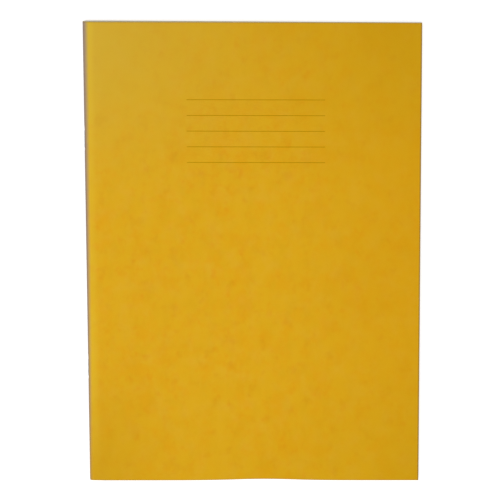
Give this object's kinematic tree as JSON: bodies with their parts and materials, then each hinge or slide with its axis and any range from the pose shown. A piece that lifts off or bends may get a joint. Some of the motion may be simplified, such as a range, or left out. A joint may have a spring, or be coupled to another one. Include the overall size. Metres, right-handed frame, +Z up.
{
  "type": "notebook",
  "caption": "Stapled soft-cover exercise book: a folded pressboard cover opens about its rounded spine, and the nested folded leaves turn with it.",
  "frame": {"origin": "the middle of the closed book's footprint, on the surface that it lies on", "axes": "+X from the spine to the fore-edge, +Y up the page from the tail to the head, +Z up out of the front cover"},
  "size_m": [0.2106, 0.297, 0.0055],
  "materials": {
    "cover_board": "mottled yellow pressboard with a glazed, softly glossy face, greyed where it is worn along the spine",
    "writing_paper": "uncoated off-white writing paper with faint printed lines",
    "staple_wire": "galvanised steel wire"
  },
  "bodies": {
    "back_cover": {"back_cover": "cover_board"},
    "front_cover": {"front_cover": "cover_board"},
    "spine": {"cover_fold": "cover_board", "sheet_01_fold": "writing_paper", "sheet_02_fold": "writing_paper", "sheet_03_fold": "writing_paper", "sheet_04_fold": "writing_paper", "sheet_05_fold": "writing_paper", "sheet_06_fold": "writing_paper", "sheet_07_fold": "writing_paper", "sheet_08_fold": "writing_paper", "sheet_09_fold": "writing_paper", "sheet_10_fold": "writing_paper", "sheet_11_fold": "writing_paper", "sheet_12_fold": "writing_paper", "sheet_13_fold": "writing_paper", "sheet_14_fold": "writing_paper", "sheet_15_fold": "writing_paper", "sheet_16_fold": "writing_paper", "staple_top": "staple_wire", "staple_bottom": "staple_wire"},
    "back_leaf_01": {"sheet_01_back_leaf": "writing_paper"},
    "front_leaf_01": {"sheet_01_front_leaf": "writing_paper"},
    "back_leaf_02": {"sheet_02_back_leaf": "writing_paper"},
    "front_leaf_02": {"sheet_02_front_leaf": "writing_paper"},
    "back_leaf_03": {"sheet_03_back_leaf": "writing_paper"},
    "front_leaf_03": {"sheet_03_front_leaf": "writing_paper"},
    "back_leaf_04": {"sheet_04_back_leaf": "writing_paper"},
    "front_leaf_04": {"sheet_04_front_leaf": "writing_paper"},
    "back_leaf_05": {"sheet_05_back_leaf": "writing_paper"},
    "front_leaf_05": {"sheet_05_front_leaf": "writing_paper"},
    "back_leaf_06": {"sheet_06_back_leaf": "writing_paper"},
    "front_leaf_06": {"sheet_06_front_leaf": "writing_paper"},
    "back_leaf_07": {"sheet_07_back_leaf": "writing_paper"},
    "front_leaf_07": {"sheet_07_front_leaf": "writing_paper"},
    "back_leaf_08": {"sheet_08_back_leaf": "writing_paper"},
    "front_leaf_08": {"sheet_08_front_leaf": "writing_paper"},
    "back_leaf_09": {"sheet_09_back_leaf": "writing_paper"},
    "front_leaf_09": {"sheet_09_front_leaf": "writing_paper"},
    "back_leaf_10": {"sheet_10_back_leaf": "writing_paper"},
    "front_leaf_10": {"sheet_10_front_leaf": "writing_paper"},
    "back_leaf_11": {"sheet_11_back_leaf": "writing_paper"},
    "front_leaf_11": {"sheet_11_front_leaf": "writing_paper"},
    "back_leaf_12": {"sheet_12_back_leaf": "writing_paper"},
    "front_leaf_12": {"sheet_12_front_leaf": "writing_paper"},
    "back_leaf_13": {"sheet_13_back_leaf": "writing_paper"},
    "front_leaf_13": {"sheet_13_front_leaf": "writing_paper"},
    "back_leaf_14": {"sheet_14_back_leaf": "writing_paper"},
    "front_leaf_14": {"sheet_14_front_leaf": "writing_paper"},
    "back_leaf_15": {"sheet_15_back_leaf": "writing_paper"},
    "front_leaf_15": {"sheet_15_front_leaf": "writing_paper"},
    "back_leaf_16": {"sheet_16_back_leaf": "writing_paper"},
    "front_leaf_16": {"sheet_16_front_leaf": "writing_paper"}
  },
  "joints": [
    {"name": "cover_opening", "type": "hinge", "parent": "back_cover", "child": "front_cover", "pos_m": [-0.10199, 0, 0.00277], "axis": [0, -1, 0], "range_deg": [0, 180]},
    {"name": "spine_turn", "type": "hinge", "parent": "back_cover", "child": "spine", "pos_m": [-0.10199, 0, 0.00277], "axis": [0, -1, 0], "range_deg": [0, 90]},
    {"name": "leaf_01_lift", "type": "hinge", "parent": "back_cover", "child": "back_leaf_01", "pos_m": [-0.10199, 0, 0.00277], "axis": [0, -1, 0], "range_deg": [0, 0.275]},
    {"name": "leaf_01_turn", "type": "hinge", "parent": "back_leaf_01", "child": "front_leaf_01", "pos_m": [-0.10199, 0, 0.00277], "axis": [0, -1, 0], "range_deg": [0, 180]},
    {"name": "leaf_02_lift", "type": "hinge", "parent": "back_cover", "child": "back_leaf_02", "pos_m": [-0.10199, 0, 0.00277], "axis": [0, -1, 0], "range_deg": [0, 0.551]},
    {"name": "leaf_02_turn", "type": "hinge", "parent": "back_leaf_02", "child": "front_leaf_02", "pos_m": [-0.10199, 0, 0.00277], "axis": [0, -1, 0], "range_deg": [0, 180]},
    {"name": "leaf_03_lift", "type": "hinge", "parent": "back_cover", "child": "back_leaf_03", "pos_m": [-0.10199, 0, 0.00277], "axis": [0, -1, 0], "range_deg": [0, 0.826]},
    {"name": "leaf_03_turn", "type": "hinge", "parent": "back_leaf_03", "child": "front_leaf_03", "pos_m": [-0.10199, 0, 0.00277], "axis": [0, -1, 0], "range_deg": [0, 180]},
    {"name": "leaf_04_lift", "type": "hinge", "parent": "back_cover", "child": "back_leaf_04", "pos_m": [-0.10199, 0, 0.00277], "axis": [0, -1, 0], "range_deg": [0, 1.1]},
    {"name": "leaf_04_turn", "type": "hinge", "parent": "back_leaf_04", "child": "front_leaf_04", "pos_m": [-0.10199, 0, 0.00277], "axis": [0, -1, 0], "range_deg": [0, 180]},
    {"name": "leaf_05_lift", "type": "hinge", "parent": "back_cover", "child": "back_leaf_05", "pos_m": [-0.10199, 0, 0.00277], "axis": [0, -1, 0], "range_deg": [0, 1.38]},
    {"name": "leaf_05_turn", "type": "hinge", "parent": "back_leaf_05", "child": "front_leaf_05", "pos_m": [-0.10199, 0, 0.00277], "axis": [0, -1, 0], "range_deg": [0, 180]},
    {"name": "leaf_06_lift", "type": "hinge", "parent": "back_cover", "child": "back_leaf_06", "pos_m": [-0.10199, 0, 0.00277], "axis": [0, -1, 0], "range_deg": [0, 1.65]},
    {"name": "leaf_06_turn", "type": "hinge", "parent": "back_leaf_06", "child": "front_leaf_06", "pos_m": [-0.10199, 0, 0.00277], "axis": [0, -1, 0], "range_deg": [0, 180]},
    {"name": "leaf_07_lift", "type": "hinge", "parent": "back_cover", "child": "back_leaf_07", "pos_m": [-0.10199, 0, 0.00277], "axis": [0, -1, 0], "range_deg": [0, 1.93]},
    {"name": "leaf_07_turn", "type": "hinge", "parent": "back_leaf_07", "child": "front_leaf_07", "pos_m": [-0.10199, 0, 0.00277], "axis": [0, -1, 0], "range_deg": [0, 180]},
    {"name": "leaf_08_lift", "type": "hinge", "parent": "back_cover", "child": "back_leaf_08", "pos_m": [-0.10199, 0, 0.00277], "axis": [0, -1, 0], "range_deg": [0, 2.2]},
    {"name": "leaf_08_turn", "type": "hinge", "parent": "back_leaf_08", "child": "front_leaf_08", "pos_m": [-0.10199, 0, 0.00277], "axis": [0, -1, 0], "range_deg": [0, 180]},
    {"name": "leaf_09_lift", "type": "hinge", "parent": "back_cover", "child": "back_leaf_09", "pos_m": [-0.10199, 0, 0.00277], "axis": [0, -1, 0], "range_deg": [0, 2.48]},
    {"name": "leaf_09_turn", "type": "hinge", "parent": "back_leaf_09", "child": "front_leaf_09", "pos_m": [-0.10199, 0, 0.00277], "axis": [0, -1, 0], "range_deg": [0, 180]},
    {"name": "leaf_10_lift", "type": "hinge", "parent": "back_cover", "child": "back_leaf_10", "pos_m": [-0.10199, 0, 0.00277], "axis": [0, -1, 0], "range_deg": [0, 2.75]},
    {"name": "leaf_10_turn", "type": "hinge", "parent": "back_leaf_10", "child": "front_leaf_10", "pos_m": [-0.10199, 0, 0.00277], "axis": [0, -1, 0], "range_deg": [0, 180]},
    {"name": "leaf_11_lift", "type": "hinge", "parent": "back_cover", "child": "back_leaf_11", "pos_m": [-0.10199, 0, 0.00277], "axis": [0, -1, 0], "range_deg": [0, 3.03]},
    {"name": "leaf_11_turn", "type": "hinge", "parent": "back_leaf_11", "child": "front_leaf_11", "pos_m": [-0.10199, 0, 0.00277], "axis": [0, -1, 0], "range_deg": [0, 180]},
    {"name": "leaf_12_lift", "type": "hinge", "parent": "back_cover", "child": "back_leaf_12", "pos_m": [-0.10199, 0, 0.00277], "axis": [0, -1, 0], "range_deg": [0, 3.31]},
    {"name": "leaf_12_turn", "type": "hinge", "parent": "back_leaf_12", "child": "front_leaf_12", "pos_m": [-0.10199, 0, 0.00277], "axis": [0, -1, 0], "range_deg": [0, 180]},
    {"name": "leaf_13_lift", "type": "hinge", "parent": "back_cover", "child": "back_leaf_13", "pos_m": [-0.10199, 0, 0.00277], "axis": [0, -1, 0], "range_deg": [0, 3.58]},
    {"name": "leaf_13_turn", "type": "hinge", "parent": "back_leaf_13", "child": "front_leaf_13", "pos_m": [-0.10199, 0, 0.00277], "axis": [0, -1, 0], "range_deg": [0, 180]},
    {"name": "leaf_14_lift", "type": "hinge", "parent": "back_cover", "child": "back_leaf_14", "pos_m": [-0.10199, 0, 0.00277], "axis": [0, -1, 0], "range_deg": [0, 3.86]},
    {"name": "leaf_14_turn", "type": "hinge", "parent": "back_leaf_14", "child": "front_leaf_14", "pos_m": [-0.10199, 0, 0.00277], "axis": [0, -1, 0], "range_deg": [0, 180]},
    {"name": "leaf_15_lift", "type": "hinge", "parent": "back_cover", "child": "back_leaf_15", "pos_m": [-0.10199, 0, 0.00277], "axis": [0, -1, 0], "range_deg": [0, 4.13]},
    {"name": "leaf_15_turn", "type": "hinge", "parent": "back_leaf_15", "child": "front_leaf_15", "pos_m": [-0.10199, 0, 0.00277], "axis": [0, -1, 0], "range_deg": [0, 180]},
    {"name": "leaf_16_lift", "type": "hinge", "parent": "back_cover", "child": "back_leaf_16", "pos_m": [-0.10199, 0, 0.00277], "axis": [0, -1, 0], "range_deg": [0, 4.41]},
    {"name": "leaf_16_turn", "type": "hinge", "parent": "back_leaf_16", "child": "front_leaf_16", "pos_m": [-0.10199, 0, 0.00277], "axis": [0, -1, 0], "range_deg": [0, 180]}
  ],
  "couplings": [
    {"joint": "spine_turn", "follows": "cover_opening", "ratio": 0.5},
    {"joint": "leaf_01_lift", "follows": "cover_opening", "ratio": 0.0015},
    {"joint": "leaf_01_turn", "follows": "cover_opening", "ratio": 0.997},
    {"joint": "leaf_02_lift", "follows": "cover_opening", "ratio": 0.003},
    {"joint": "leaf_02_turn", "follows": "cover_opening", "ratio": 0.994},
    {"joint": "leaf_03_lift", "follows": "cover_opening", "ratio": 0.0045},
    {"joint": "leaf_03_turn", "follows": "cover_opening", "ratio": 0.991},
    {"joint": "leaf_04_lift", "follows": "cover_opening", "ratio": 0.006},
    {"joint": "leaf_04_turn", "follows": "cover_opening", "ratio": 0.988},
    {"joint": "leaf_05_lift", "follows": "cover_opening", "ratio": 0.0075},
    {"joint": "leaf_05_turn", "follows": "cover_opening", "ratio": 0.985},
    {"joint": "leaf_06_lift", "follows": "cover_opening", "ratio": 0.009},
    {"joint": "leaf_06_turn", "follows": "cover_opening", "ratio": 0.982},
    {"joint": "leaf_07_lift", "follows": "cover_opening", "ratio": 0.0105},
    {"joint": "leaf_07_turn", "follows": "cover_opening", "ratio": 0.979},
    {"joint": "leaf_08_lift", "follows": "cover_opening", "ratio": 0.012},
    {"joint": "leaf_08_turn", "follows": "cover_opening", "ratio": 0.976},
    {"joint": "leaf_09_lift", "follows": "cover_opening", "ratio": 0.0135},
    {"joint": "leaf_09_turn", "follows": "cover_opening", "ratio": 0.973},
    {"joint": "leaf_10_lift", "follows": "cover_opening", "ratio": 0.015},
    {"joint": "leaf_10_turn", "follows": "cover_opening", "ratio": 0.97},
    {"joint": "leaf_11_lift", "follows": "cover_opening", "ratio": 0.0165},
    {"joint": "leaf_11_turn", "follows": "cover_opening", "ratio": 0.967},
    {"joint": "leaf_12_lift", "follows": "cover_opening", "ratio": 0.018},
    {"joint": "leaf_12_turn", "follows": "cover_opening", "ratio": 0.964},
    {"joint": "leaf_13_lift", "follows": "cover_opening", "ratio": 0.0195},
    {"joint": "leaf_13_turn", "follows": "cover_opening", "ratio": 0.961},
    {"joint": "leaf_14_lift", "follows": "cover_opening", "ratio": 0.021},
    {"joint": "leaf_14_turn", "follows": "cover_opening", "ratio": 0.958},
    {"joint": "leaf_15_lift", "follows": "cover_opening", "ratio": 0.0225},
    {"joint": "leaf_15_turn", "follows": "cover_opening", "ratio": 0.955},
    {"joint": "leaf_16_lift", "follows": "cover_opening", "ratio": 0.024},
    {"joint": "leaf_16_turn", "follows": "cover_opening", "ratio": 0.952}
  ]
}
